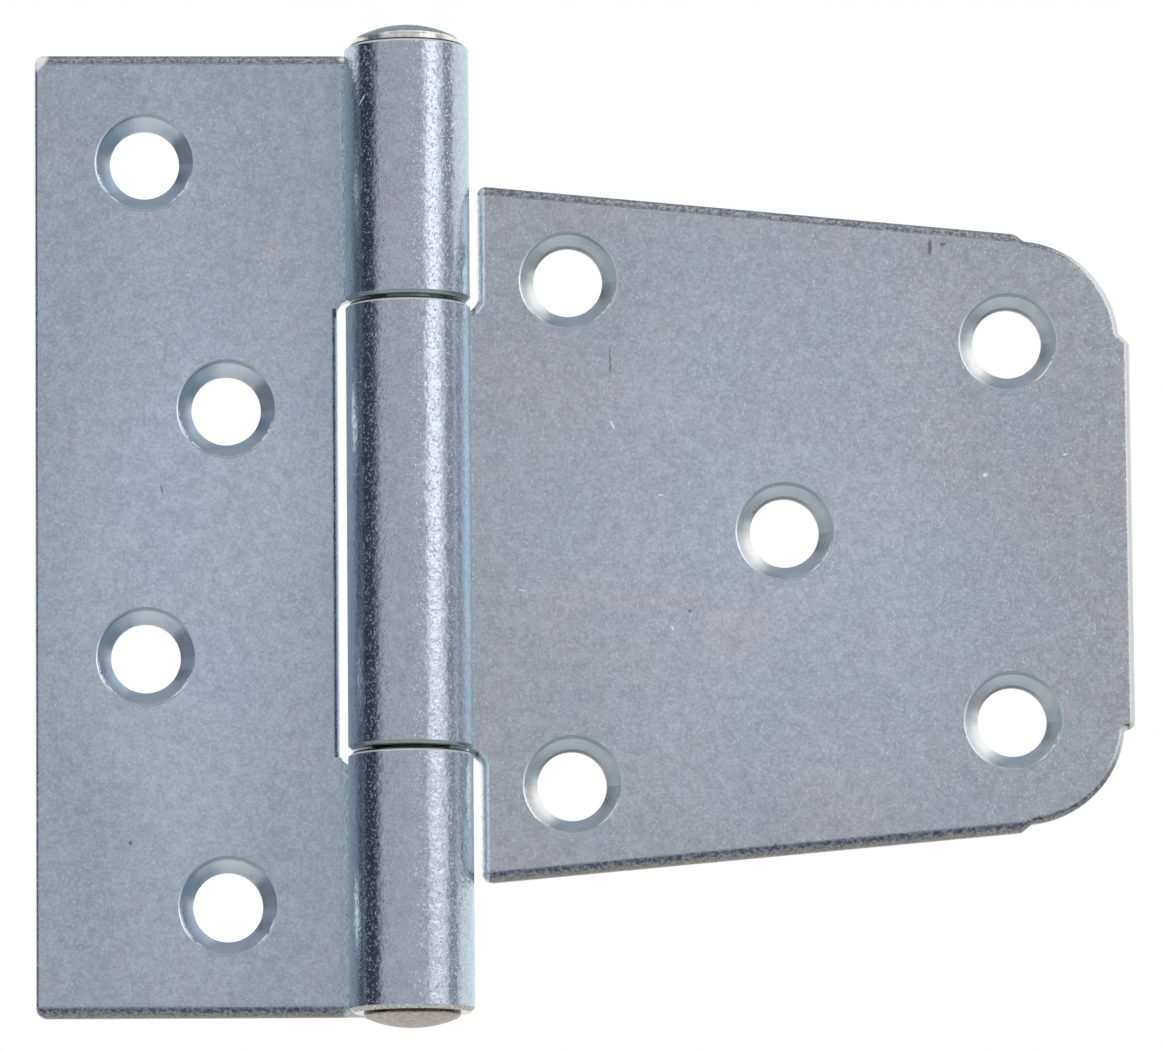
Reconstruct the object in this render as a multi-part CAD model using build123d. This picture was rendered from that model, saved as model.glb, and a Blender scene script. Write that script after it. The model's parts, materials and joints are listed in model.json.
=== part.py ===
"""Tee hinge of zinc-plated steel: a tall pad leaf, a short tapered strap leaf and a peened pin.

All sizes are in millimetres. The pin stands upright along Z. The mounting plane, where both leaves lie
against the wood, is y = 0, and the knuckles stand out of it towards the front, -Y. The pad leaf reaches
to -X and the strap to +X. The origin is on the mounting plane, straight behind the pin, at mid-height.
"""
from build123d import *
import math
import os

# Sheet, pin and their fits
plate_thickness = 2.8
pin_diameter = 9.5
pin_clearance = 0.05  # between the pin and the rolled knuckles, on the radius
knuckle_gap = 0.3  # between the ends of neighbouring knuckles
seam_gap = 0.25  # between the sheet's rolled-in end and the face of its own leaf
shoulder_gap = 1.1  # between the pad's knuckles and the strap's shoulders beside them
slot_gap = 0.85  # between the strap's knuckle and the edge of the pad's slot

# Pad leaf
pad_height = 118.5
pad_width = 45.45  # from the pin's axis to the free edge
corner_radius = 1.4  # at the pad's free corners and the strap's shoulders

# Strap leaf
strap_length = 88.9  # from the pin's axis to the free end
strap_root_width = 86.1
strap_taper = 5.2  # degrees that each long edge runs in towards the tip
strap_knuckle_length = 54.7

# Rounded tip corners, cut from the tapered blank in a second hit that leaves small steps
tip_corner_radius = 12.7
tip_side_step = 0.95  # from the long edge down to the arc
tip_end_step = 1.25  # from the end edge in to the arc
tip_step_overlap = 1.1  # how far round the arc the steps begin
tip_side_slant = 50.0  # degrees that the steps at the long edges lean from square
tip_upper_end_slant = 41.0  # the same at the end edge, where the lower step is nearly square
tip_lower_end_slant = 8.0
tip_step_radius = 0.5  # inner corner of each step

# Slot corners
slot_corner_radius = 1.6
slot_relief = 1.0  # how far the pad's slot runs past its knuckles' ends

# Edges, which the blanking punch draws down at the front
long_edge_roll = 1.5  # along the pad's ends and the strap's tapered sides
slot_roll = 0.8  # round the pad's slot
shoulder_roll = 1.0  # down the strap's shoulders
tip_roll = 0.85
free_edge_roll = 0.6  # on the pad's free edge
back_break = 0.5  # bevel on the back edges, which become the rims of the rolled knuckles
countersink_break = 0.12

# Screw holes
hole_diameter = 8.5
countersink_diameter = 12.0
countersink_angle = 82.0
pad_outer_column = 32.0  # from the pin's axis
pad_inner_column = 22.1
pad_hole_top = 45.75  # height of the highest hole, in the outer column
pad_hole_pitch = 30.5  # height between one hole and the next, which changes column
strap_root_column = 19.9
strap_root_spacing = 62.2
strap_tip_setback = 15.0  # from the free end
strap_tip_spacing = 46.8
strap_centre_hole = 46.2

# Pin heads, of which the upper one is peened wider. The rim is the straight side below the dome.
upper_head_diameter = 12.8
upper_head_height = 2.6
upper_head_rim = 0.9
lower_head_diameter = 11.8
lower_head_height = 1.8
lower_head_rim = 0.5
head_edge_radius = 0.7  # between the rim and the dome

# Sizes that follow from the ones above
bore_radius = pin_diameter / 2 + pin_clearance
barrel_radius = bore_radius + plate_thickness
pin_line = Location((0, -barrel_radius, 0))
slot_edge = barrel_radius + slot_gap
shoulder_edge = barrel_radius + shoulder_gap
knuckle_end = strap_knuckle_length / 2
pad_knuckle_start = knuckle_end + knuckle_gap
taper_slope = math.tan(math.radians(strap_taper))
hole_radius = hole_diameter / 2
countersink_radius = countersink_diameter / 2

TOLERANCE = 0.001


def strap_half_width(x):
    """Half the width of the tapered strap, at a distance x from the pin's axis."""
    return strap_root_width / 2 - (x - shoulder_edge) * taper_slope


def flat_blank(outline):
    """The outline, drawn as seen from the front, as a plate on the mounting plane."""
    return extrude(Plane.XZ * outline, amount=plate_thickness)


def rolled_knuckle(bottom, top, side):
    """A sheet rolled round the pin, from the pin's back, round its far side and over the front.

    side is the way in which the sheet runs past the pin before it turns back: 1 for +X, -1 for -X.
    The roll stops where the sheet's outer corner comes within the seam gap of its own leaf.
    """
    last_stretch = math.degrees(math.asin((bore_radius - seam_gap) / barrel_radius))
    roll_angle = 270 + last_stretch
    outer = CenterArc((0, 0), barrel_radius, 90, -side * roll_angle)
    inner = CenterArc((0, 0), bore_radius, 90, -side * roll_angle)
    section = make_face([outer, Line(outer @ 1, inner @ 1), inner, Line(inner @ 0, outer @ 0)])
    return pin_line * Pos(0, 0, bottom) * extrude(section, amount=top - bottom)


def front_edge(leaf, x, z):
    """The edge of the leaf's front face that passes nearest to the place x, z."""
    on_front = [
        edge
        for edge in leaf.edges()
        if all(abs(vertex.Y + plate_thickness) < TOLERANCE for vertex in edge.vertices())
    ]
    return min(on_front, key=lambda edge: edge.distance_to((x, -plate_thickness, z)))


def drawn_down(leaf, rolls):
    """Rounds the flat leaf's front edges as the punch leaves them, before it is rolled.

    Each roll is a radius and the places where its edges pass. A fillet follows its edge on through
    every smooth bend.
    """
    for radius, places in rolls:
        for x, z in places:
            leaf = fillet(front_edge(leaf, x, z), radius)
    return leaf


def corners_at(outline, points):
    """The outline's corners that lie nearest to the given points."""
    return [outline.vertices().sort_by_distance(point)[0] for point in points]


def with_round_corners(leaf, outline, corners):
    """Rounds the corners of the leaf that lie nearest to the given points of its outline."""
    rounded = fillet(corners_at(outline, corners), corner_radius)
    return leaf - flat_blank(outline - rounded)


def with_back_break(leaf):
    """Bevels the edges of the flat back and, following on from them, the rims of the knuckles."""
    on_back = [
        edge
        for edge in leaf.edges()
        if all(abs(vertex.Y) < TOLERANCE for vertex in edge.vertices())
        and any(abs(vertex.X) > TOLERANCE for vertex in edge.vertices())
    ]
    return chamfer(on_back, back_break)


def screw_hole(x, z):
    """A hole for a flat-head screw: a short straight land at the back and a cone to the front."""
    depth = (countersink_radius - hole_radius) / math.tan(math.radians(countersink_angle / 2))
    profile = Polyline(
        (0, 0),
        (hole_radius, 0),
        (hole_radius, plate_thickness - depth),
        (countersink_radius, plate_thickness),
        (0, plate_thickness),
        close=True,
    )
    cutter = revolve(make_face(profile), Axis.Y)
    return Pos(x, 0, z) * Rotation(180, 0, 0) * cutter


def with_screw_holes(leaf, places):
    """Drills the leaf and bevels each countersink's rim."""
    for x, z in places:
        leaf -= screw_hole(x, z)

    def is_rim(edge):
        return (
            edge.geom_type == GeomType.CIRCLE
            and abs(edge.radius - countersink_radius) < TOLERANCE
            and abs(edge.arc_center.Y + plate_thickness) < TOLERANCE
        )

    return chamfer([edge for edge in leaf.edges() if is_rim(edge)], countersink_break)


def pad_hole_places():
    """Four holes at one pitch in height, which change between the outer and the inner column."""
    columns = [-pad_outer_column, -pad_inner_column] * 2
    return [(x, pad_hole_top - row * pad_hole_pitch) for row, x in enumerate(columns)]


def strap_hole_places():
    """Two holes near the knuckle, one in the middle and two near the tip."""
    root = [(strap_root_column, side * strap_root_spacing / 2) for side in (1, -1)]
    tip = [(strap_length - strap_tip_setback, side * strap_tip_spacing / 2) for side in (1, -1)]
    return root + [(strap_centre_hole, 0)] + tip


def both_sides(places):
    """The places and their mirror images below mid-height."""
    return places + [(x, -z) for x, z in places]


def make_pad_leaf():
    """The tall leaf: a rectangular blank, slotted for the strap's knuckle, with two rolled knuckles."""
    end = pad_height / 2
    blank = Pos(-pad_width / 2, 0) * Rectangle(pad_width, pad_height)
    blank -= Pos(-slot_edge / 2, 0) * Rectangle(slot_edge, 2 * pad_knuckle_start)
    relief_height = pad_knuckle_start + slot_relief - slot_corner_radius
    for side in (1, -1):
        blank -= Pos(slot_corner_radius - slot_edge, side * relief_height) * Circle(slot_corner_radius)
    tongue_middle = (slot_corner_radius - slot_edge) / 2
    rolls = [
        (long_edge_roll, both_sides([(-pad_width / 2, end)])),
        (slot_roll, [(-slot_edge, 0)] + both_sides([(tongue_middle, pad_knuckle_start)])),
        (free_edge_roll, [(-pad_width, 0)]),
    ]
    leaf = drawn_down(flat_blank(blank), rolls)
    leaf = with_round_corners(leaf, blank, both_sides([(-pad_width, end)]))
    leaf += rolled_knuckle(pad_knuckle_start, end, 1)
    leaf += rolled_knuckle(-end, -pad_knuckle_start, 1)
    return with_screw_holes(with_back_break(leaf), pad_hole_places())


def tip_corner(side, end_slant):
    """One tip corner's outline, from the long edge to the end edge, for the upper or lower side.

    It is a step down from the long edge, the arc, and a step out to the end edge. The steps meet the
    arc a little inside its ends. Returns the four points at the steps and the arc's middle.
    """
    centre_x = strap_length - tip_end_step - tip_corner_radius
    centre_z = strap_half_width(centre_x) - tip_side_step - tip_corner_radius
    across = math.sqrt(tip_corner_radius**2 - tip_step_overlap**2)
    diagonal = tip_corner_radius * math.sqrt(0.5)
    arc_start = (centre_x + tip_step_overlap, centre_z + across)
    arc_middle = (centre_x + diagonal, centre_z + diagonal)
    arc_end = (centre_x + across, centre_z + tip_step_overlap)
    side_lean = math.tan(math.radians(tip_side_slant))
    end_lean = math.tan(math.radians(end_slant))
    side_rise = (strap_half_width(arc_start[0]) - arc_start[1]) / (1 - taper_slope * side_lean)
    side_nib = (arc_start[0] - side_rise * side_lean, arc_start[1] + side_rise)
    end_nib = (strap_length, arc_end[1] - (strap_length - arc_end[0]) * end_lean)
    return [(x, side * z) for x, z in (side_nib, arc_start, arc_middle, arc_end, end_nib)]


def strap_outline():
    """The strap's blank as seen from the front, with its tongue still flat."""
    shoulder = (shoulder_edge, strap_half_width(shoulder_edge))
    root = (shoulder_edge, knuckle_end)
    tongue = (0, knuckle_end)
    upper_nib, upper_start, upper_middle, upper_end, upper_end_nib = tip_corner(1, tip_upper_end_slant)
    lower_nib, lower_start, lower_middle, lower_end, lower_end_nib = tip_corner(-1, tip_lower_end_slant)

    def below(point):
        return point[0], -point[1]

    edges = [
        Polyline(tongue, root, shoulder, upper_nib, upper_start),
        ThreePointArc(upper_start, upper_middle, upper_end),
        Polyline(upper_end, upper_end_nib, lower_end_nib, lower_end),
        ThreePointArc(lower_end, lower_middle, lower_start),
        Polyline(lower_start, lower_nib, below(shoulder), below(root), below(tongue), tongue),
    ]
    outline = make_face(edges)
    outline = fillet(corners_at(outline, [root, below(root)]), slot_corner_radius)
    steps = [upper_start, upper_end, lower_start, lower_end]
    return fillet(corners_at(outline, steps), tip_step_radius)


def make_strap_leaf():
    """The tapered leaf, with a tongue at its root that is rolled into the middle knuckle."""
    middle = strap_length / 2
    shoulder_top = strap_half_width(shoulder_edge)
    shoulder_middle = (knuckle_end + shoulder_top) / 2
    tip_middles = [tip_corner(side, tip_upper_end_slant)[2] for side in (1, -1)]
    rolls = [
        (long_edge_roll, both_sides([(middle, strap_half_width(middle))])),
        (tip_roll, tip_middles + [(strap_length, 0)]),
        (shoulder_roll, both_sides([(shoulder_edge, shoulder_middle)])),
    ]
    blank = strap_outline()
    leaf = drawn_down(flat_blank(blank), rolls)
    leaf = with_round_corners(leaf, blank, both_sides([(shoulder_edge, shoulder_top)]))
    leaf += rolled_knuckle(-knuckle_end, knuckle_end, -1)
    return with_screw_holes(with_back_break(leaf), strap_hole_places())


def pin_head(diameter, height, rim):
    """A head on the pin's upper end: a short straight rim below a dome."""
    seat = pad_height / 2
    radius = diameter / 2
    rise = height - rim
    dome_radius = (radius**2 + rise**2) / (2 * rise)
    dome_drop = dome_radius - math.sqrt(dome_radius**2 - (radius / 2) ** 2)
    side = Line((radius, seat), (radius, seat + rim))
    dome = ThreePointArc(side @ 1, (radius / 2, seat + height - dome_drop), (0, seat + height))
    section = make_face([side, dome, Line(dome @ 1, (0, seat)), Line((0, seat), side @ 0)])
    section = fillet(corners_at(section, [side @ 1]), head_edge_radius)
    return revolve(Plane.XZ * section, Axis.Z)


def make_pin():
    """The pin: a shank through all knuckles with a domed head seated on each end."""
    shank = Cylinder(pin_diameter / 2, pad_height)
    upper_head = pin_head(upper_head_diameter, upper_head_height, upper_head_rim)
    lower_head = pin_head(lower_head_diameter, lower_head_height, lower_head_rim)
    return pin_line * (shank + upper_head + mirror(lower_head, about=Plane.XY))


os.makedirs("parts", exist_ok=True)
pieces = {"pad_leaf": make_pad_leaf(), "strap_leaf": make_strap_leaf(), "pin": make_pin()}
for name, piece in pieces.items():
    print(name, "solids:", len(piece.solids()), "volume:", round(piece.volume, 2))
    export_step(piece, f"parts/{name}.step")
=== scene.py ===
# %% [markdown]
# # A zinc-plated tee hinge
#
# This script dresses a tee hinge that was modelled in CAD: a tall pad leaf, a short tapered strap leaf and
# a peened pin. The shapes are already right, so nearly all the work here is in the metal's finish and in
# what the metal has to reflect. The model is in metres. The pin stands along Z, the leaves lie with their
# flat backs on the XZ plane, and the front, with the knuckles, looks towards -Y.

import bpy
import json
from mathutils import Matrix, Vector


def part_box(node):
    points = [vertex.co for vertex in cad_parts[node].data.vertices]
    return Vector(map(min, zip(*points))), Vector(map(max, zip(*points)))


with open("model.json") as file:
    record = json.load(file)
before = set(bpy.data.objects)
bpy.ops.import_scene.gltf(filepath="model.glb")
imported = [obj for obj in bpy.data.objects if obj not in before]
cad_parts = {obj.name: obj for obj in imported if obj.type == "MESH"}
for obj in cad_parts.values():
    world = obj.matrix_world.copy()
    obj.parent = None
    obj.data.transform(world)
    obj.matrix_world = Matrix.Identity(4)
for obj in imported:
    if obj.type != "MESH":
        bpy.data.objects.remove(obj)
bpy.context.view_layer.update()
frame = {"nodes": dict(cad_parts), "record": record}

# %% [markdown]
# The other modules come next, and the sizes. The finish has to know where the holes, the knuckles and the
# edges are. Most of that is read from the model, so that it follows when a size there changes: the holes
# from the record's mounts, the rest from the leaves' boxes. The sheet's thickness and the countersinks are
# in neither, and are repeated here. The finish and the camera count in millimetres, and only the studio's
# floor, lamps and cards in metres.

# %% Modules and the sizes that the finish needs
import json
import math
from types import SimpleNamespace

import bpy
from mathutils import Matrix, Vector

MM = 0.001
far = 1000.0  # further than anything on the hinge
plate_thickness = 2.8
countersink_radius = 6.12
countersink_angle = 82.0
cone_tilt = math.cos(math.radians(countersink_angle / 2))  # how much a cone's surface faces its axis

pad_low, pad_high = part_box("pad_leaf")
pad_height = (pad_high.z - pad_low.z) / MM
barrel_radius = (pad_high.y - pad_low.y) / 2 / MM
strap_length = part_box("strap_leaf")[1].x / MM

mounts = {mount["name"]: mount for mount in frame["record"]["mounts"]}
hole_radius = mounts["strap_centre_screw"]["dims"]["hole_r_mm"]


def screw_holes(leaf):
    """The places of a leaf's screw holes, as x and z, from the mounts that start with its name."""
    places = []
    for name, mount in mounts.items():
        if name.startswith(leaf) and "hole_r_mm" in mount["dims"]:
            x, z = mount["pos_m"][0] / MM, mount["pos_m"][2] / MM
            reach = mount["dims"].get("spacing_y_mm", 0.0) / 2
            places += [(x, z + side * reach) for side in ((1, -1) if reach else (0,))]
    return places


pad_holes = screw_holes("pad")
strap_holes = screw_holes("strap")
pad_leaf = frame["nodes"]["pad_leaf"]
strap_leaf = frame["nodes"]["strap_leaf"]
pin = frame["nodes"]["pin"]
print("nodes:", sorted(frame["nodes"]))
print("knuckle radius", round(barrel_radius, 3), "and hole radius", hole_radius)
print("holes:", [[round(value, 2) for value in hole] for hole in pad_holes + strap_holes])

# %% [markdown]
# The camera. The photograph was taken with a long lens from a little below and a little to the left, so
# the underside of the knuckles shows and the upright edges stay almost parallel. A camera can be turned
# with Euler angles, but here its three axes are worked out as vectors and written into its matrix, because
# each axis can then be checked against the picture on its own.

# %% Camera
image_width = 1165
pixels_per_mm = 8.18
camera_distance = 1200.0
camera_below = math.radians(7.6)
camera_left = math.radians(3.0)
camera_roll = math.radians(-0.52)
aim_point = Vector((21.35, -plate_thickness, 0.83)) * MM

camera_data = bpy.data.cameras.new("long_lens")
camera = bpy.data.objects.new("long_lens", camera_data)
bpy.context.scene.collection.objects.link(camera)
bpy.context.scene.camera = camera

flat = math.cos(camera_below)
forward = Vector((math.sin(camera_left) * flat, math.cos(camera_left) * flat, math.sin(camera_below)))
level = forward.cross(Vector((0, 0, 1))).normalized()
upright = level.cross(forward)
right = math.cos(camera_roll) * level + math.sin(camera_roll) * upright
up = math.cos(camera_roll) * upright - math.sin(camera_roll) * level
camera.matrix_world = Matrix.Translation(aim_point - forward * camera_distance * MM) @ Matrix(
    (right, up, -forward)
).transposed().to_4x4()
camera_data.lens = pixels_per_mm * camera_distance * camera_data.sensor_width / image_width
camera_data.clip_start = 0.01
print("lens:", round(camera_data.lens, 1), "mm, camera at", [round(value, 3) for value in camera.location])

# %% [markdown]
# The studio. A metal has no colour of its own to show, only a tint on what it reflects, so the
# surroundings matter as much as the material. A white backdrop could be modelled, but the world itself
# does it: it is white for the rays that the eye and the metal send out, and a plain grey for the light
# that it casts.

# %% World
scene = bpy.context.scene
scene.view_settings.view_transform = "Standard"

ambient_level = 0.55
pure_white = (1, 1, 1, 1)

world = bpy.data.worlds.new("white_studio")
scene.world = world
world.use_nodes = True
world_nodes = world.node_tree.nodes
world_links = world.node_tree.links
world_nodes.clear()
rays = world_nodes.new("ShaderNodeLightPath")
eye_or_gloss = world_nodes.new("ShaderNodeMath")
eye_or_gloss.operation = "MAXIMUM"
world_links.new(rays.outputs["Is Camera Ray"], eye_or_gloss.inputs[0])
world_links.new(rays.outputs["Is Glossy Ray"], eye_or_gloss.inputs[1])
seen = world_nodes.new("ShaderNodeMath")
seen.operation = "MAXIMUM"
world_links.new(eye_or_gloss.outputs[0], seen.inputs[0])
world_links.new(rays.outputs["Is Transmission Ray"], seen.inputs[1])
ambient = world_nodes.new("ShaderNodeBackground")
ambient.inputs["Strength"].default_value = ambient_level
ambient.inputs["Color"].default_value = pure_white
white = world_nodes.new("ShaderNodeBackground")
white.inputs["Strength"].default_value = 1.0
white.inputs["Color"].default_value = pure_white
either = world_nodes.new("ShaderNodeMixShader")
world_links.new(seen.outputs[0], either.inputs[0])
world_links.new(ambient.outputs[0], either.inputs[1])
world_links.new(white.outputs[0], either.inputs[2])
world_output = world_nodes.new("ShaderNodeOutputWorld")
world_links.new(either.outputs[0], world_output.inputs[0])
print("world: white to look at, casting", ambient_level)

# %% [markdown]
# Building a node tree by hand takes three lines for each node, as the world's did. The helper below makes
# one node and fills its sockets in a single call: a socket that is given another node's output is linked,
# any other value is typed in. The rest of the script is written with it. The Mix node has a set of sockets
# for each kind of value, all of the same names, so the ones for colours are picked by their number.

# %% A helper that makes and wires nodes
def add(tree, kind, *places, **named):
    """Makes a node. Values in order fill its sockets by place, named ones by name or set a property."""
    node = tree.nodes.new("ShaderNode" + kind)
    for name, value in named.items():
        if name.islower():
            setattr(node, name, value)
    sockets = dict(enumerate(places))
    sockets.update({name: value for name, value in named.items() if not name.islower()})
    for name, value in sockets.items():
        socket = node.inputs[name] if isinstance(name, int) else node.inputs[name.replace("_", " ")]
        if isinstance(value, bpy.types.NodeSocket):
            tree.links.new(value, socket)
        else:
            socket.default_value = value
    return node


def maths(tree, operation, *values):
    """One sum on one, two or three numbers."""
    return add(tree, "Math", *values, operation=operation).outputs[0]


def smooth(tree, value, start, end):
    """0 before start, 1 after end and an eased step between them."""
    step = add(tree, "MapRange", value, float(start), float(end), interpolation_type="SMOOTHSTEP")
    return step.outputs["Result"]


def mixed(tree, amount, under, over, way="MIX"):
    """Lays one colour over another by an amount from 0 to 1."""
    node = add(tree, "Mix", data_type="RGBA", blend_type=way, clamp_factor=True)
    for place, value in ((0, amount), (6, under), (7, over)):
        if isinstance(value, bpy.types.NodeSocket):
            tree.links.new(value, node.inputs[place])
        else:
            node.inputs[place].default_value = value
    return node.outputs[2]


def new_material(name):
    """An empty material and its node tree."""
    material = bpy.data.materials.new(name)
    material.use_nodes = True
    material.node_tree.nodes.clear()
    return material, material.node_tree


print("node helpers ready")

# %% [markdown]
# The floor. The photograph has none to see, so this one lies far enough below the hinge to be out of the
# picture. It is pale and sends soft light up under the edges. A plane that simply ends would show a line
# in the metal, so it fades out into the white world with distance.

# %% Floor
floor_drop = 0.26
floor_size = 6.0
floor_fade = (0.9, 2.2)
floor_paint = (0.86, 0.86, 0.86, 1)

floor_material, tree = new_material("pale_floor")
place = add(tree, "TexCoord").outputs["Object"]
reach = add(tree, "VectorMath", place, operation="LENGTH").outputs["Value"]
paint = add(tree, "BsdfDiffuse", Color=floor_paint).outputs[0]
clear = add(tree, "BsdfTransparent").outputs[0]
faded = add(tree, "MixShader", smooth(tree, reach, *floor_fade), paint, clear).outputs[0]
add(tree, "OutputMaterial", faded)


def flat_rectangle(name, width, height):
    """A mesh of one face in its own X and Y."""
    mesh = bpy.data.meshes.new(name)
    x, y = width / 2, height / 2
    mesh.from_pydata([(-x, -y, 0), (x, -y, 0), (x, y, 0), (-x, y, 0)], [], [(0, 1, 2, 3)])
    return mesh


floor_mesh = flat_rectangle("floor", floor_size, floor_size)
floor = bpy.data.objects.new("floor", floor_mesh)
floor.location = (0, 0, -floor_drop)
floor_mesh.materials.append(floor_material)
scene.collection.objects.link(floor)
print("floor", floor_drop, "m below the hinge's middle")

# %% [markdown]
# The lamps. On the round knuckles every direction of the room shows up as an upright stripe, so the
# stripes in the photograph tell what stood where: a dark stripe at the left, grey in the middle, a bright
# one right of it and a narrow darker one beside that. A picture of a studio could be wrapped round the
# scene for this, but with lamps each stripe can be moved and dimmed by itself. A soft lamp at the right
# gives the bright stripe, and two from above light the edges and the pin's head. Each is set by its
# direction from the hinge.

# %% Lamps
def direction(azimuth, elevation):
    """The way to something seen from the hinge. Azimuth 0 is in front, towards -Y, and it grows to +X."""
    turn, rise = math.radians(azimuth), math.radians(elevation)
    return Vector((math.sin(turn) * math.cos(rise), -math.cos(turn) * math.cos(rise), math.sin(rise)))


def facing_hinge(thing, azimuth, elevation, distance):
    """Stands a thing in that direction, with its front towards the hinge."""
    way = direction(azimuth, elevation)
    thing.location = way * distance
    thing.rotation_mode = "QUATERNION"
    thing.rotation_quaternion = way.to_track_quat("Z", "Y")


def soft_lamp(name, azimuth, elevation, distance, width, height, brightness, colour=(1, 1, 1)):
    """A rectangular soft box of an even brightness, where 1 is the white of the world."""
    data = bpy.data.lights.new(name, "AREA")
    data.shape = "RECTANGLE"
    data.size, data.size_y = width, height
    data.energy = brightness * math.pi * width * height
    data.color = colour
    lamp = bpy.data.objects.new(name, data)
    scene.collection.objects.link(lamp)
    facing_hinge(lamp, azimuth, elevation, distance)
    lamp.visible_camera = False
    return lamp


# Each has its azimuth, elevation, distance, width, height, brightness and, if it isn't white, its colour.
lamps = [
    soft_lamp("right_lamp", 46, 20, 0.95, 0.38, 0.52, 0.66, (0.86, 0.95, 1.0)),
    soft_lamp("upper_left_lamp", -42, 54, 0.95, 0.4, 0.3, 2.4),
    soft_lamp("upper_right_lamp", 40, 56, 0.95, 0.4, 0.3, 2.4),
]
print("lamps:", [(lamp.name, round(lamp.data.energy, 2)) for lamp in lamps])

# %% [markdown]
# The cards. Photographers stand grey and black cards round shiny metal, to give it something to mirror.
# Here only the gloss of the metal sees them, so they change neither the light nor the background. Real
# cards are out of focus in satin metal, so the ones that make the dark stripes fade away at their upright
# sides.

# %% Cards
def card(name, azimuth, elevation, width, height, colour, distance=0.8, soft=0.02):
    """A card that only glossy reflections see. Its width and height are angles seen from the hinge.

    Soft is the part of its width over which each upright side fades away.
    """
    wide, high = (2 * distance * math.tan(math.radians(angle / 2)) for angle in (width, height))
    mesh = flat_rectangle(name, wide, high)
    material, tree = new_material(name)
    across = add(tree, "SeparateXYZ", add(tree, "TexCoord").outputs["Generated"]).outputs["X"]
    from_side = maths(tree, "MINIMUM", across, maths(tree, "SUBTRACT", 1.0, across))
    clear = add(tree, "BsdfTransparent").outputs[0]
    glow = add(tree, "Emission", Color=(*colour, 1), Strength=1.0).outputs[0]
    faded = add(tree, "MixShader", smooth(tree, from_side, 0.0, soft), clear, glow).outputs[0]
    add(tree, "OutputMaterial", faded)
    mesh.materials.append(material)
    board = bpy.data.objects.new(name, mesh)
    scene.collection.objects.link(board)
    facing_hinge(board, azimuth, elevation, distance)
    board.visible_camera = False
    board.visible_diffuse = False
    board.visible_shadow = False
    board.visible_transmission = False
    return board


# Each has its azimuth, elevation, width and height in degrees, and its colour.
cards = [
    card("grey_front_card", -21, 8, 102, 44, (0.59, 0.6, 0.61)),
    card("dark_left_card", -83, 8, 62, 70, (0.045, 0.06, 0.09), distance=0.7, soft=0.34),
    card("grey_right_card", 80, 6, 34, 60, (0.36, 0.41, 0.45), distance=0.7, soft=0.3),
    card("dim_upper_card", 0, 52, 70, 40, (0.3, 0.32, 0.36), distance=0.7),
    card("dim_lower_card", 0, -45, 90, 36, (0.35, 0.38, 0.42), distance=0.25),
    card("green_low_card", 0, -84, 50, 44, (0.50, 0.55, 0.54), distance=0.235),
    card("blue_back_card", -155, 58, 100, 60, (0.25, 0.3, 0.36), distance=0.7),
]
print("cards:", [board.name for board in cards])

# %% [markdown]
# The zinc comes next, and it is most of the work. Plated steel that has been passivated is a satin grey
# with a cool, slightly uneven tint, the grain of the rolled sheet under the plating and a sparkle of tiny
# facets. It could be painted as an image, but the pattern has to follow the metal round the knuckles and
# stay sharp from close by. So all of it is made from noise in the leaf's own coordinates, counted in
# millimetres. These helpers make the noise and the soft shapes that the finish is put together from.

# %% Noise and masks
def times(tree, first, *others):
    """Masks multiplied, so that the result is only where all of them are."""
    for other in others:
        first = maths(tree, "MULTIPLY", first, other)
    return first


def without(tree, mask):
    """The mask turned round: 1 where it was 0."""
    return maths(tree, "SUBTRACT", 1.0, mask)


def patches(tree, place, size, detail=3.0, rough=0.65, low=0.36, high=0.64):
    """Noise with patches of about that size in millimetres. What lies from low to high fills 0 to 1."""
    # At a scale of 1 the patches of the noise are about half a millimetre.
    noise = add(tree, "TexNoise", Vector=place, Scale=0.5 / size, Detail=detail, Roughness=rough)
    return add(tree, "MapRange", noise.outputs["Fac"], low, high).outputs["Result"]


def ragged(tree, place, size, amount):
    """The place pushed about by noise, so that a spot drawn on it gets an uneven outline."""
    noise = add(tree, "TexNoise", Vector=place, Scale=0.5 / size, Detail=3.0)
    push = add(tree, "VectorMath", noise.outputs["Color"], (0.5, 0.5, 0.5), operation="SUBTRACT").outputs[0]
    push = add(tree, "VectorMath", push, operation="SCALE", Scale=amount).outputs[0]
    return add(tree, "VectorMath", place, push, operation="ADD").outputs[0]


print("noise and masks ready")

# %% [markdown]
# Stains, rust specks and nicks lie at places of their own, so they can't come from noise alone. Each is a
# soft oval drawn at its measured place on the front. The place is first pushed about by a little noise,
# and that gives every mark the uneven outline that a plain oval lacks.

# %% Marks at given places
def spot(tree, place, x, z, width, height, turn=0.0, soft=0.5):
    """A soft oval on the front, 1 at its middle. Its sizes are in millimetres."""
    mapping = add(tree, "Mapping", place, vector_type="TEXTURE")
    mapping.inputs["Location"].default_value = (x, 0, z)
    mapping.inputs["Rotation"].default_value = (0, -math.radians(turn), 0)
    mapping.inputs["Scale"].default_value = (width / 2, far, height / 2)
    reach = add(tree, "VectorMath", mapping.outputs[0], operation="LENGTH").outputs["Value"]
    return smooth(tree, reach, 1 + soft, 1 - soft)


def spots(tree, place, marks, soft):
    """All the marks of one kind on a leaf. Each is x, z, width, height and, if it is turned, degrees."""
    highest = 0.0
    for mark in marks:
        highest = maths(tree, "MAXIMUM", spot(tree, place, *mark, soft=soft), highest)
    return highest


print("marks ready")

# %% [markdown]
# Where a point lies. Every layer of the finish asks the same few questions: is this the front, a knuckle,
# a countersink, an edge that looks up or down? They are answered once, from the point's place and the way
# that its surface faces. Vertex groups would do this too, but these answers need no work on the mesh, and
# they swing with the leaf, because both readings are in its own coordinates.

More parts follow.
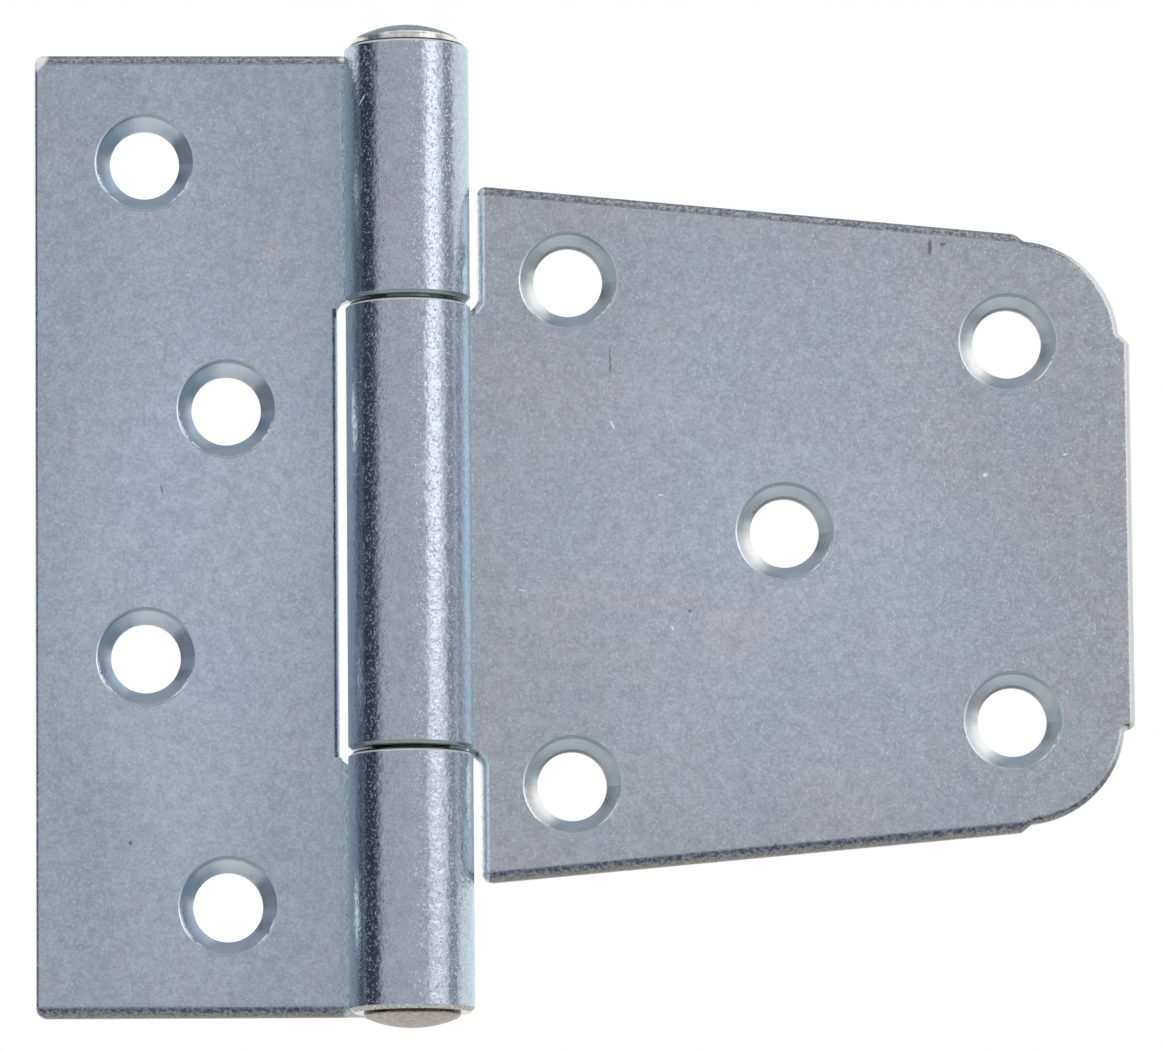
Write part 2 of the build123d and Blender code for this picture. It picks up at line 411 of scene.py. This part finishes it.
# %% Where on the leaf
front_facing = (0.0, -0.3)
knuckle_side = (8.3, 7.7)
knuckle_back = (0.9, 0.3)
rim_lean = (0.2, 0.5)
rim_band = (barrel_radius - 0.32, barrel_radius - 0.2)
edge_lean = (0.08, 0.35)
edge_strength = 0.9
up_or_down = (-0.1, 0.1)
half_blur = 0.06


def hole_distance(tree, x, z, holes):
    """How far each point lies from the axis of the nearest hole, in millimetres."""
    flat_place = add(tree, "CombineXYZ", x, 0.0, z).outputs[0]
    nearest = far
    for hole_x, hole_z in holes:
        reach = add(tree, "VectorMath", flat_place, (hole_x, 0, hole_z), operation="DISTANCE")
        nearest = maths(tree, "MINIMUM", reach.outputs["Value"], nearest)
    return nearest


def read_surface(tree, holes):
    """The place and facing of each point of a leaf, and masks from 0 to 1 for the kinds of surface."""
    coordinates = add(tree, "TexCoord")
    in_metres = coordinates.outputs["Object"]
    place = add(tree, "VectorMath", in_metres, operation="SCALE", Scale=1 / MM).outputs[0]
    apart = add(tree, "SeparateXYZ", place).outputs
    normal = coordinates.outputs["Normal"]
    facing = add(tree, "SeparateXYZ", normal).outputs
    sideways = maths(tree, "ABSOLUTE", apart["X"])
    lean = maths(tree, "ABSOLUTE", facing["Z"])

    front = smooth(tree, facing["Y"], *front_facing)
    knuckle = times(tree, smooth(tree, sideways, *knuckle_side), smooth(tree, facing["Y"], *knuckle_back))
    from_hole = hole_distance(tree, apart["X"], apart["Z"], holes)
    across = add(tree, "CombineXYZ", apart["X"], apart["Y"], 0.0).outputs[0]
    from_pin = add(tree, "VectorMath", across, (0, -barrel_radius, 0), operation="DISTANCE")
    in_hole = smooth(tree, from_hole, countersink_radius + half_blur, countersink_radius - half_blur)
    ring = times(tree, in_hole, front)
    edge = times(tree, without(tree, knuckle), smooth(tree, lean, *edge_lean), without(tree, ring))
    edge = times(tree, edge, edge_strength)
    return SimpleNamespace(
        place=place,
        x=apart["X"],
        z=apart["Z"],
        sideways=sideways,
        normal=normal,
        facing=facing,
        lean=lean,
        from_hole=from_hole,
        front=front,
        knuckle=knuckle,
        ring=ring,
        edge=edge,
        rim=times(tree, knuckle, smooth(tree, lean, *rim_lean)),
        outer_rim=smooth(tree, from_pin.outputs["Value"], *rim_band),
        upward=smooth(tree, facing["Z"], *up_or_down),
    )


print("a leaf's surface is read from its place and its facing")

# %% [markdown]
# The tint, over centimetres. Clear passivated zinc is never quite even: it drifts between warm and cool.
# Each leaf is also paler in the middle and duller towards the border. Beside the knuckle this dulling is
# partly painted shade, for the knuckle that shades the sheet and is mirrored in it. The knuckles are a
# little greyer, with bluer flanks. On the strap some water has dried and left a faint warm band. The drift
# and the band could share one noise, but as separate layers each can be made weaker or stronger alone.

# %% Tint
warm_drift = (1.02, 0.99, 0.96, 1)
cool_drift = (0.98, 1.01, 1.02, 1)
knuckle_grey = (0.532, 0.553, 0.633, 1)
knuckle_flank = (0.5, 0.64, 0.7, 1)
dried_water = (0.69, 0.65, 0.69, 1)
pale_to_dull_and_shaded = (0.35, 1.2)
border_wander = 0.35
flank_start = (5.2, 6.8)
stain_strength = 0.5


def plate_tint(tree, leaf, finish):
    """The plating's colour, with painted shade beside the knuckle, before any grain."""
    mapping = add(tree, "Mapping", leaf.place, vector_type="TEXTURE")
    mapping.inputs["Location"].default_value = (finish["middle"], 0, 0)
    mapping.inputs["Scale"].default_value = (finish["half_width"], far, finish["half_height"])
    outward = add(tree, "VectorMath", mapping.outputs[0], operation="LENGTH").outputs["Value"]
    uneven = patches(tree, leaf.place, 12.0, detail=2.0, rough=0.5)
    outward = maths(tree, "MULTIPLY_ADD", uneven, border_wander, outward)
    # Paler in the middle, duller towards the border; beside the knuckle the dulling is partly painted
    # shade.
    colour = mixed(tree, smooth(tree, outward, *pale_to_dull_and_shaded), finish["pale"], finish["dull_and_shaded"])
    haze = patches(tree, leaf.place, 6.0, detail=2.0, rough=0.5)
    colour = mixed(tree, 1.0, colour, mixed(tree, haze, warm_drift, cool_drift), "MULTIPLY")
    rolled = mixed(tree, smooth(tree, leaf.sideways, *flank_start), knuckle_grey, knuckle_flank)
    colour = mixed(tree, leaf.knuckle, colour, rolled)
    stains = spots(tree, ragged(tree, leaf.place, 1.5, 3.0), finish["stains"], 0.35)
    return mixed(tree, times(tree, stains, stain_strength, leaf.front), colour, dried_water)


print("tint ready")

# %% [markdown]
# The grain, over millimetres and tenths of one. Three sizes of noise make the metal light and dark: a
# mottling of 0.8 mm, a grain of 0.19 mm and bright specks of 0.16 mm, which are painted glints of tiny
# facets. A faint change of hue goes with them. The same noise later drives the bump, so that a light spot
# is also a raised one. Shallow dents of half a millimetre only take part in the bump: they make the bright
# stripes on the knuckles waver. The soot and the flecks are for the edges, which are rougher than the
# sheet.

# %% Grain
rosy = (1.0, 0.975, 1.0, 1)
greenish = (0.965, 0.99, 0.985, 1)
# The colour of the painted glints.
painted_glint = (0.88, 0.92, 1.0, 1)
painted_glint_strength = 0.35
darkest_tone = 0.86
fine_contrast = 0.22
mottle_contrast = 0.12


def sheet_grain(tree, place):
    """The patterns of the metal, each from 0 to 1."""
    return SimpleNamespace(
        mottle=patches(tree, place, 0.8, detail=2.0),
        fine=patches(tree, place, 0.19, detail=2.0),
        specks=patches(tree, place, 0.16, detail=1.0, low=0.6, high=0.72),
        dents=patches(tree, place, 0.55, detail=1.0),
        hues=patches(tree, place, 0.4, detail=1.0),
        soot=patches(tree, place, 0.2, detail=3.0, low=0.4, high=0.6),
        flecks=patches(tree, place, 0.3, detail=2.0, low=0.4, high=0.5),
    )


def grained(tree, grain, colour):
    """The colour with the sheet's grain in it."""
    colour = mixed(tree, 1.0, colour, mixed(tree, grain.hues, rosy, greenish), "MULTIPLY")
    tone = maths(tree, "MULTIPLY_ADD", grain.fine, fine_contrast, darkest_tone)
    tone = maths(tree, "MULTIPLY_ADD", grain.mottle, mottle_contrast, tone)
    colour = add(tree, "VectorMath", colour, operation="SCALE", Scale=tone).outputs[0]
    # The bright specks are painted glints, in the colour as well as in the bump.
    return mixed(tree, times(tree, grain.specks, painted_glint_strength), colour, painted_glint)


print("grain ready")

# %% [markdown]
# The edges. A punch drags the sheet's front edge round before it cuts through, and dirt stays in the roll.
# So an edge that looks down is speckled dark where the roll starts, then beige brown on the sheared wall.
# One that looks up is an even, speckled grey. The dark of both is partly that dirt and partly a painted
# dark reflection, such as a dark card would give. The knuckles' rims are the same edge, with painted light
# on them: a nearly white painted highlight where they look up, a greenish painted highlight where they look
# down, a pale one at the very bottom, and painted shade on the flat ends that look up into the gaps between
# the knuckles. The facing tells these apart, so no edge has to be marked by hand.

# %% Edges
# The dark tones of the rolls, below and on top, are partly dirt and partly a painted dark reflection.
roll_dark_dirt_and_reflection = (0.09, 0.10, 0.13, 1)
roll_light = (0.42, 0.44, 0.48, 1)
sheared_dark = (0.27, 0.24, 0.22, 1)
sheared_light = (0.50, 0.45, 0.42, 1)
top_dark_dirt_and_reflection = (0.12, 0.125, 0.15, 1)
top_light = (0.46, 0.47, 0.5, 1)
# The rims' colours are painted light: highlights where they look up, look down and at the very bottom, and
# painted shade on the flat ends that look up.
rim_up_painted_highlight = (1.0, 0.97, 0.94, 1)
rim_end_painted_shade = (0.2, 0.21, 0.22, 1)
rim_down_painted_highlight = (0.38, 0.46, 0.48, 1)
bottom_highlight_dirty = (0.6, 0.57, 0.56, 1)
bottom_highlight_clean = (0.95, 0.92, 0.91, 1)
roll_to_wall = (0.55, 0.85)
bottom_rim = (-0.45 * pad_height, -0.48 * pad_height)


def blanked_edges(tree, leaf, grain, colour):
    """Lays the edges of the sheet and the rims of the knuckles over the colour, with painted light on both.
    """
    # Dirt in the rolls, with a painted dark reflection in their dark tones.
    rolled = mixed(tree, grain.soot, roll_dark_dirt_and_reflection, roll_light)
    sheared = mixed(tree, grain.soot, sheared_dark, sheared_light)
    downward = mixed(tree, smooth(tree, leaf.lean, *roll_to_wall), rolled, sheared)
    at_top = mixed(tree, grain.soot, top_dark_dirt_and_reflection, top_light)
    colour = mixed(tree, leaf.edge, colour, mixed(tree, leaf.upward, downward, at_top))

    # Painted light on the rims: highlights where they look up and down, and painted shade on their flat
    # ends.
    lowest = smooth(tree, leaf.z, *bottom_rim)
    under = mixed(tree, lowest, rim_down_painted_highlight, mixed(tree, grain.soot, bottom_highlight_dirty, bottom_highlight_clean))
    over = mixed(tree, leaf.outer_rim, rim_end_painted_shade, rim_up_painted_highlight)
    return mixed(tree, leaf.rim, colour, mixed(tree, leaf.upward, under, over))


print("edges ready")

# %% [markdown]
# The countersinks. They are cut into the sheet, so they have none of its grain and bump, and are a little
# duller. Shiny cones mirror each other's light from side to side. More lamps and cards could bring that
# out, but they would also change the knuckles. So each cone is tinted by the hour on a clock face that a
# point lies at, which paints those reflections into its colour. Its outer lip gets a bright, matt painted
# highlight low at both sides, and at the top it keeps a thin dark line. The strap's holes also have a
# painted shade there on the inner lip.

# %% Countersinks
# The lip's painted highlight.
lip_painted_highlight = (1, 1, 1, 1)
# The dark of the outer lip's top line and of the inner lip's painted shade.
dark_lip_line_and_shade = (0.12, 0.1, 0.1, 1)
outer_lip_band = (countersink_radius - 0.5, countersink_radius - 0.35)
inner_lip_band = (hole_radius + 0.4, hole_radius + 0.2)
low_right = (4.2, 0.9)  # each of these three is an hour and its spread
low_left = (8.0, 1.2)
top = (11.8, 2.3)
top_line_strength = 0.45


def at_hour(tree, normal, hour, spread):
    """The part of each countersink's cone at that hour on a clock face. The spread is in hours too."""
    turn = math.radians(30 * hour)
    inward = add(tree, "VectorMath", normal, (-math.sin(turn), 0, -math.cos(turn)), operation="DOT_PRODUCT")
    nearness = maths(tree, "DIVIDE", inward.outputs["Value"], cone_tilt)
    return smooth(tree, nearness, math.cos(math.radians(30 * spread)), math.cos(math.radians(9 * spread)))


def countersinks(tree, leaf, grain, finish, colour):
    """Lays the cones, with their painted reflections, highlight and shade, over the colour. Also gives the
    lip's painted highlight, which is matt.
    """
    # Painted reflections: the cone's tint changes by the hour.
    cone = finish["ring"]
    for hour, spread, tint in finish["ring_painted_reflections"]:
        cone = mixed(tree, at_hour(tree, leaf.normal, hour, spread), cone, tint)
    colour = mixed(tree, leaf.ring, colour, cone)

    outer_lip = smooth(tree, leaf.from_hole, *outer_lip_band)
    inner_lip = smooth(tree, leaf.from_hole, *inner_lip_band)
    at_right = at_hour(tree, leaf.normal, *low_right)
    low_sides = maths(tree, "ADD", at_right, at_hour(tree, leaf.normal, *low_left))
    # A painted highlight on the outer lip, low at both sides.
    lip_highlight = times(tree, outer_lip, leaf.ring, low_sides, grain.flecks)
    colour = mixed(tree, lip_highlight, colour, lip_painted_highlight)
    # A thin dark line at the top of the outer lip and, on the strap, painted shade on the inner lip.
    top_line = times(tree, outer_lip, top_line_strength)
    top_line_and_lip_shade = maths(tree, "MULTIPLY_ADD", inner_lip, finish["top_line_and_lip_shade"], top_line)
    top_line_and_lip_shade = times(tree, top_line_and_lip_shade, leaf.ring, at_hour(tree, leaf.normal, *top))
    return mixed(tree, top_line_and_lip_shade, colour, dark_lip_line_and_shade), lip_highlight


print("countersinks ready")

# %% [markdown]
# Painted highlights. The strap's free end is painted white above its lower corner, where it faces away from
# the knuckles, and its shoulders beside the knuckles get a painted highlight in flecks. A mask for all
# sharp edges could do it at once, but these highlights lie in these places and hardly anywhere else, so
# each has a mask of its own. The small marks go on top of everything: dark specks and rust, and bright
# nicks.

# %% Painted highlights and small marks
# Where the free end and the shoulders get their painted highlights.
end_highlight_x = (strap_length - 11, strap_length - 5)
end_highlight_above = (-32.0, -22.0)
end_highlight_facing = (0.1, 0.4)
shoulder_start = (8.3, 8.6)
shoulder_end = (10.2, 9.8)
shoulder_facing = (-0.03, -0.12)
shoulder_painted_highlight = (0.93, 0.98, 1.0, 1)
end_painted_highlight = (0.97, 0.96, 0.94, 1)
rust_brown = (0.12, 0.09, 0.08, 1)
bare_metal = (1, 1, 1, 1)
speck_strength = 0.65


def painted_edge_highlights(tree, leaf, grain, colour):
    """Lays the painted highlights of the shoulders and the free end over the colour. Also gives the end's,
    which is matt.
    """
    # Painted highlights on the free end and, in flecks, on the shoulders.
    tip_highlight = times(tree, smooth(tree, leaf.x, *end_highlight_x), smooth(tree, leaf.facing["X"], *end_highlight_facing))
    tip_highlight = times(tree, tip_highlight, smooth(tree, leaf.z, *end_highlight_above))
    shoulder = times(tree, smooth(tree, leaf.x, *shoulder_start), smooth(tree, leaf.x, *shoulder_end))
    shoulder = times(tree, shoulder, smooth(tree, leaf.facing["X"], *shoulder_facing))
    shoulder = times(tree, shoulder, maths(tree, "MULTIPLY_ADD", grain.flecks, 0.35, 0.65))
    colour = mixed(tree, shoulder, colour, shoulder_painted_highlight)
    return mixed(tree, tip_highlight, colour, end_painted_highlight), tip_highlight


def small_marks(tree, leaf, finish, colour):
    """Lays the marks over the colour. Also gives the bright ones, which are matt and raised."""
    dark = times(tree, spots(tree, ragged(tree, leaf.place, 0.25, 0.5), finish["specks"], 0.4), leaf.front)
    bright = times(tree, spots(tree, ragged(tree, leaf.place, 0.2, 0.2), finish["nicks"], 0.3), leaf.front)
    colour = mixed(tree, times(tree, dark, speck_strength), colour, rust_brown)
    return mixed(tree, bright, colour, bare_metal), bright


print("wear and marks ready")

# %% [markdown]
# Now the layers are put together. Where the plating is whole, it is a metal: it mirrors the room. Where it
# is worn or sooty, and under the painted highlights, it scatters its light instead, so the Metallic value
# falls there. A bump made from the grain gives the sparkle on the knuckles, where it is coarser than on the
# flat sheet. A Bevel node rounds the light on the sharp corners a little, which costs no geometry.

# %% Zinc
sheet_roughness = 0.16
mottle_roughness = 0.06
knuckle_polish = -0.03
cutter_roughness = 0.05
sheet_bump = 0.4
knuckle_bump = -0.08
knuckle_grain = -0.4
knuckle_specks = 3.0
knuckle_dents = 1.8
nick_height = 4.0
bump_height = 0.034 * MM
corner_softness = 0.1 * MM
edge_matt = 0.85
rim_matt = 0.7
matt_loss = -0.95


def zinc_leaf(name, finish):
    """The whole finish of one leaf."""
    material, tree = new_material(name)
    leaf = read_surface(tree, finish["holes"])
    grain = sheet_grain(tree, leaf.place)
    colour = grained(tree, grain, plate_tint(tree, leaf, finish))
    colour = blanked_edges(tree, leaf, grain, colour)
    colour, lip_highlight = countersinks(tree, leaf, grain, finish, colour)
    colour, tip_highlight = painted_edge_highlights(tree, leaf, grain, colour)
    colour, bright = small_marks(tree, leaf, finish, colour)

    rim = times(tree, leaf.rim, leaf.outer_rim, rim_matt)
    matt = times(tree, maths(tree, "MAXIMUM", times(tree, leaf.edge, edge_matt), rim), leaf.upward)
    for part in (tip_highlight, bright, lip_highlight):
        matt = maths(tree, "MAXIMUM", part, matt)

    roughness = maths(tree, "MULTIPLY_ADD", grain.mottle, mottle_roughness, sheet_roughness)
    roughness = maths(tree, "MULTIPLY_ADD", leaf.knuckle, knuckle_polish, roughness)
    roughness = maths(tree, "MULTIPLY_ADD", leaf.ring, cutter_roughness, roughness)

    fine = times(tree, grain.fine, maths(tree, "MULTIPLY_ADD", leaf.knuckle, knuckle_grain, 1.0))
    speckle = maths(tree, "MULTIPLY_ADD", leaf.knuckle, knuckle_specks, 1.0)
    raised = maths(tree, "MULTIPLY_ADD", grain.specks, speckle, fine)
    raised = maths(tree, "MULTIPLY_ADD", grain.dents, times(tree, leaf.knuckle, knuckle_dents), raised)
    raised = maths(tree, "MULTIPLY_ADD", bright, nick_height, raised)
    strength = maths(tree, "MULTIPLY_ADD", leaf.knuckle, knuckle_bump, sheet_bump)
    strength = times(tree, strength, without(tree, leaf.ring), without(tree, leaf.rim))
    bump = add(tree, "Bump", Strength=strength, Height=raised, Distance=bump_height)
    rounder = add(tree, "Bevel", Radius=corner_softness, samples=4)
    tree.links.new(rounder.outputs[0], bump.inputs["Normal"])

    metal = add(tree, "BsdfPrincipled", Base_Color=colour, Roughness=roughness, Normal=bump.outputs[0])
    tree.links.new(maths(tree, "MULTIPLY_ADD", matt, matt_loss, 1.0), metal.inputs["Metallic"])
    add(tree, "OutputMaterial", metal.outputs[0])
    return material


def dress(node, material):
    """Gives a CAD node its finish."""
    node.data.materials.clear()
    node.data.materials.append(material)
    print(node.name, "wears", material.name)


print("zinc ready")

# %% [markdown]
# The pad leaf. Its own numbers are the tints, the middle and the half sizes of the paler area, the clock
# hours of its countersinks' painted reflections, each with a spread and a tint, and the places of its
# marks. The plating is bluer here than on the strap. The nick at the upper outer corner is the largest: the
# corner is rubbed white there.

# %% Pad leaf
pad_finish = {
    "holes": pad_holes,
    "middle": -26.0,
    "half_width": 21.0,
    "half_height": 66.0,
    "pale": (0.58, 0.653, 0.795, 1),
    "dull_and_shaded": (0.49, 0.55, 0.65, 1),
    "ring": (0.58, 0.68, 0.78, 1),
    "ring_painted_reflections": [
        (0.6, 1.6, (0.96, 0.98, 1.0, 1)),
        (2.4, 0.9, (0.42, 0.44, 0.48, 1)),
        (5.5, 1.9, (0.8, 0.88, 0.96, 1)),
        (8.0, 1.0, (0.42, 0.54, 0.68, 1)),
        (10.0, 0.8, (0.43, 0.55, 0.65, 1)),
    ],
    "top_line_and_lip_shade": 0.0,
    "stains": [(-16.5, 34.8, 2.5, 3.5)],
    "specks": [(-30.0, 5.3, 0.25, 0.9, 8), (-34.0, -38.0, 0.5, 0.5)],
    "nicks": [
        (-44.9, 58.5, 1.6, 3.3, -35),
        (-5.4, 27.1, 0.3, 0.8, 30),
        (-5.6, 51.8, 0.12, 1.3, -30),
        (5.6, 48.9, 0.3, 0.9, -35),
    ],
}
dress(pad_leaf, zinc_leaf("pad_zinc", pad_finish))

# %% [markdown]
# The strap leaf. It has the same finish with its own numbers: warmer and a little paler, with the dried
# water band across its lower half, a rust mark under the top edge and, low on the left of each countersink,
# a very bright painted reflection of the open white of the room.

# %% Strap leaf
strap_finish = {
    "holes": strap_holes,
    "middle": 44.0,
    "half_width": 44.0,
    "half_height": 42.0,
    "pale": (0.60, 0.652, 0.765, 1),
    "dull_and_shaded": (0.535, 0.555, 0.62, 1),
    "ring": (0.65, 0.71, 0.74, 1),
    "ring_painted_reflections": [
        (0.0, 1.6, (0.74, 0.79, 0.83, 1)),
        (5.2, 1.8, (0.9, 0.96, 1.0, 1)),
        (7.9, 1.3, (1.0, 1.0, 1.0, 1)),
    ],
    "top_line_and_lip_shade": 0.5,
    "stains": [(19.8, -7.6, 9, 4), (29.5, -8.4, 13, 3), (39.9, -12.0, 7.5, 9)],
    "specks": [
        (64.4, 35.2, 0.5, 2.0),
        (66.0, 35.6, 0.7, 0.5),
        (24.9, 21.1, 0.15, 3.3, 3),
        (42.5, 2.6, 0.3, 0.3),
        (34.4, -9.8, 0.35, 0.35),
        (44.5, -38.6, 0.4, 0.6),
    ],
    "nicks": [
        (25.1, 13.2, 0.25, 1.1, 30),
        (32.2, -11.9, 0.22, 0.7, 25),
        (70.8, 6.9, 0.5, 0.5),
        (80.7, 9.4, 0.5, 0.25, 20),
        (30.9, 4.5, 0.6, 0.25),
        (13.9, -7.2, 1.0, 0.25, -5),
    ],
}
dress(strap_leaf, zinc_leaf("strap_zinc", strap_finish))

# %% [markdown]
# The pin. Its heads were hammered over after plating, which dulled them to a warm grey. The upper one gets
# a paler copy of the same colours, painted light for a head that mirrors a dim card above it. They could
# wear the leaves' zinc in a browner tint, but it has the sheet's grain, which a hammered head has lost. So
# they get a short recipe of their own: a browner metal, coarser noise for the hammered surface and more
# roughness. A dark line of painted shade lies in the crevice where the lower head meets its seat. The
# height tells the two heads apart, because the pin is one piece.

# %% Pin
lower_dirty = (0.58, 0.51, 0.47, 1)
lower_clean = (0.85, 0.79, 0.75, 1)
# The upper head's colours are a paler copy, painted light for a head that mirrors a dim card.
upper_lit_dirty = (0.75, 0.73, 0.71, 1)
upper_lit_clean = (1.0, 0.98, 0.96, 1)
# Painted shade for the crevice above the lower head's seat.
crevice_painted_shade = (0.07, 0.055, 0.04, 1)
dirty_to_clean = (0.35, 0.65)
lower_to_upper = (-1.0, 1.0)
crevice_depth = (-0.15, 0.15)
crevice_wander = 0.6
head_roughness = 0.2
dirt_roughness = 0.2
dent_depth = 0.2 * MM


def hammered_head(name):
    """Dull, warm grey metal with a faintly hammered surface."""
    material, tree = new_material(name)
    coordinates = add(tree, "TexCoord").outputs["Object"]
    place = add(tree, "VectorMath", coordinates, operation="SCALE", Scale=1 / MM).outputs[0]
    dents = add(tree, "TexNoise", Vector=place, Scale=0.7, Detail=2.0).outputs["Fac"]
    uneven = add(tree, "TexNoise", Vector=place, Scale=1.6, Detail=4.0, Roughness=0.7).outputs["Fac"]
    height = add(tree, "SeparateXYZ", place).outputs["Z"]
    clean = smooth(tree, uneven, *dirty_to_clean)
    lower = mixed(tree, clean, lower_dirty, lower_clean)
    # Painted light: the upper head is paler.
    upper = mixed(tree, clean, upper_lit_dirty, upper_lit_clean)
    at_top = smooth(tree, height, *lower_to_upper)
    # Painted shade in the crevice where the lower head meets its seat.
    wandering = maths(tree, "MULTIPLY_ADD", uneven, crevice_wander, height)
    above_seat = maths(tree, "ADD", wandering, pad_height / 2)
    crevice = maths(tree, "SUBTRACT", smooth(tree, above_seat, *crevice_depth), at_top)
    lower = mixed(tree, crevice, lower, crevice_painted_shade)
    colour = mixed(tree, at_top, lower, upper)
    bump = add(tree, "Bump", Strength=0.5, Height=dents, Distance=dent_depth)
    roughness = maths(tree, "MULTIPLY_ADD", uneven, dirt_roughness, head_roughness)
    metal = add(tree, "BsdfPrincipled", Base_Color=colour, Roughness=roughness, Normal=bump.outputs[0])
    metal.inputs["Metallic"].default_value = 1.0
    add(tree, "OutputMaterial", metal.outputs[0])
    return material


dress(pin, hammered_head("hammered_zinc"))
